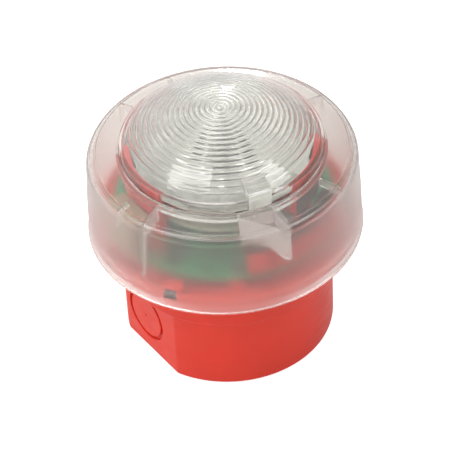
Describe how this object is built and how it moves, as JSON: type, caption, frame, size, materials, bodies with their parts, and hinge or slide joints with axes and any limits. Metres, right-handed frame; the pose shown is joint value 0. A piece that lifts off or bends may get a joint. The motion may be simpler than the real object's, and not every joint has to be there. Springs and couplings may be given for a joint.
{
  "type": "horn strobe",
  "caption": "Open-area horn strobe: deep red back box, twist-lock sounder head, clear drum cover and Fresnel strobe dome.",
  "frame": {"origin": "centre of the wall face, on the face the back box is fixed by", "axes": "+Z out of the wall along the axis of the drum and dome; the two conduit flats face -X and +X"},
  "size_m": [0.1136, 0.1136, 0.113],
  "materials": {
    "red_body": "satin moulded ABS",
    "red_inner": "satin moulded ABS",
    "clear_cover": "clear polycarbonate, lightly frosted wall",
    "clear_dome": "clear polycarbonate with concentric lens rings",
    "tube_glass": "clear glass",
    "gasket": "matt",
    "terminal_grey": "moulded nylon",
    "screw_steel": "zinc plated",
    "contact_brass": "bright",
    "board_green": "solder resist over glass fibre",
    "board_olive": "pale olive solder resist over glass fibre",
    "switch_blue": "moulded",
    "lever_white": "moulded",
    "winding_tape": "polyester tape",
    "black_plastic": "moulded",
    "piezo_ceramic": "silvered ceramic",
    "mirror": "vacuum metallised"
  },
  "bodies": {
    "base": {"back_box": "red_body", "box_gasket": "gasket", "terminal_block": "terminal_grey", "terminal_fixing_screw_left": "screw_steel", "terminal_fixing_screw_right": "screw_steel", "base_contact_1": "contact_brass", "base_contact_2": "contact_brass", "base_contact_3": "contact_brass", "base_contact_4": "contact_brass"},
    "head": {"head_chassis": "red_body", "main_board": "board_green", "board_screw_1": "screw_steel", "board_screw_2": "screw_steel", "board_screw_3": "screw_steel", "dip_switch": "switch_blue", "volume_trimmer": "switch_blue", "transformer": "winding_tape", "storage_capacitor": "black_plastic", "filter_capacitor": "black_plastic", "controller_chip": "black_plastic", "driver_chip": "black_plastic", "board_link": "black_plastic", "sounder_horn": "red_inner", "piezo_disc": "contact_brass", "piezo_ceramic": "piezo_ceramic", "piezo_ring": "black_plastic", "reflector_carrier": "red_inner", "strobe_board": "board_olive", "reflector": "mirror", "flash_tube": "tube_glass", "trigger_coil": "black_plastic", "drum_cover": "clear_cover", "fresnel_dome": "clear_dome", "head_contact_1": "contact_brass", "head_contact_2": "contact_brass", "head_contact_3": "contact_brass", "head_contact_4": "contact_brass"},
    "locking_screw": {"locking_screw": "screw_steel"},
    "volume_rotor": {"volume_rotor": "lever_white"},
    "terminal_screw_1": {"terminal_screw_1": "screw_steel"},
    "terminal_cage_1": {"terminal_cage_1": "contact_brass"},
    "terminal_screw_2": {"terminal_screw_2": "screw_steel"},
    "terminal_cage_2": {"terminal_cage_2": "contact_brass"},
    "terminal_screw_3": {"terminal_screw_3": "screw_steel"},
    "terminal_cage_3": {"terminal_cage_3": "contact_brass"},
    "terminal_screw_4": {"terminal_screw_4": "screw_steel"},
    "terminal_cage_4": {"terminal_cage_4": "contact_brass"},
    "dip_lever_1": {"dip_lever_1": "lever_white"},
    "dip_lever_2": {"dip_lever_2": "lever_white"},
    "dip_lever_3": {"dip_lever_3": "lever_white"},
    "dip_lever_4": {"dip_lever_4": "lever_white"}
  },
  "joints": [
    {"name": "head_twist", "type": "hinge", "parent": "base", "child": "head", "pos_m": [0, 0, 0.046], "axis": [0, 0, 1], "range_deg": [-20, 0]},
    {"name": "locking_screw_back_out", "type": "slide", "parent": "head", "child": "locking_screw", "axis": [0, 1, 0], "range_m": [0, 0.0022]},
    {"name": "volume_turn", "type": "hinge", "parent": "head", "child": "volume_rotor", "pos_m": [0.01, -0.012, 0.058], "axis": [0, 0, 1], "range_deg": [-135, 135]},
    {"name": "terminal_screw_1_turn", "type": "hinge", "parent": "base", "child": "terminal_screw_1", "pos_m": [-0.012, 0.0104, 0.0125], "axis": [0, 0, 1], "range_deg": [-648, 0]},
    {"name": "terminal_cage_1_lift", "type": "slide", "parent": "base", "child": "terminal_cage_1", "axis": [0, 0, 1], "range_m": [0, 0.0009]},
    {"name": "terminal_screw_2_turn", "type": "hinge", "parent": "base", "child": "terminal_screw_2", "pos_m": [-0.004, 0.0104, 0.0125], "axis": [0, 0, 1], "range_deg": [-648, 0]},
    {"name": "terminal_cage_2_lift", "type": "slide", "parent": "base", "child": "terminal_cage_2", "axis": [0, 0, 1], "range_m": [0, 0.0009]},
    {"name": "terminal_screw_3_turn", "type": "hinge", "parent": "base", "child": "terminal_screw_3", "pos_m": [0.004, 0.0104, 0.0125], "axis": [0, 0, 1], "range_deg": [-648, 0]},
    {"name": "terminal_cage_3_lift", "type": "slide", "parent": "base", "child": "terminal_cage_3", "axis": [0, 0, 1], "range_m": [0, 0.0009]},
    {"name": "terminal_screw_4_turn", "type": "hinge", "parent": "base", "child": "terminal_screw_4", "pos_m": [0.012, 0.0104, 0.0125], "axis": [0, 0, 1], "range_deg": [-648, 0]},
    {"name": "terminal_cage_4_lift", "type": "slide", "parent": "base", "child": "terminal_cage_4", "axis": [0, 0, 1], "range_m": [0, 0.0009]},
    {"name": "dip_lever_1_slide", "type": "slide", "parent": "head", "child": "dip_lever_1", "axis": [0, 1, 0], "range_m": [0, 0.001]},
    {"name": "dip_lever_2_slide", "type": "slide", "parent": "head", "child": "dip_lever_2", "axis": [0, 1, 0], "range_m": [0, 0.001]},
    {"name": "dip_lever_3_slide", "type": "slide", "parent": "head", "child": "dip_lever_3", "axis": [0, 1, 0], "range_m": [0, 0.001]},
    {"name": "dip_lever_4_slide", "type": "slide", "parent": "head", "child": "dip_lever_4", "axis": [0, 1, 0], "range_m": [0, 0.001]}
  ],
  "couplings": [
    {"joint": "terminal_screw_1_turn", "follows": "terminal_cage_1_lift", "rad_per_m": -12566},
    {"joint": "terminal_screw_2_turn", "follows": "terminal_cage_2_lift", "rad_per_m": -12566},
    {"joint": "terminal_screw_3_turn", "follows": "terminal_cage_3_lift", "rad_per_m": -12566},
    {"joint": "terminal_screw_4_turn", "follows": "terminal_cage_4_lift", "rad_per_m": -12566}
  ]
}
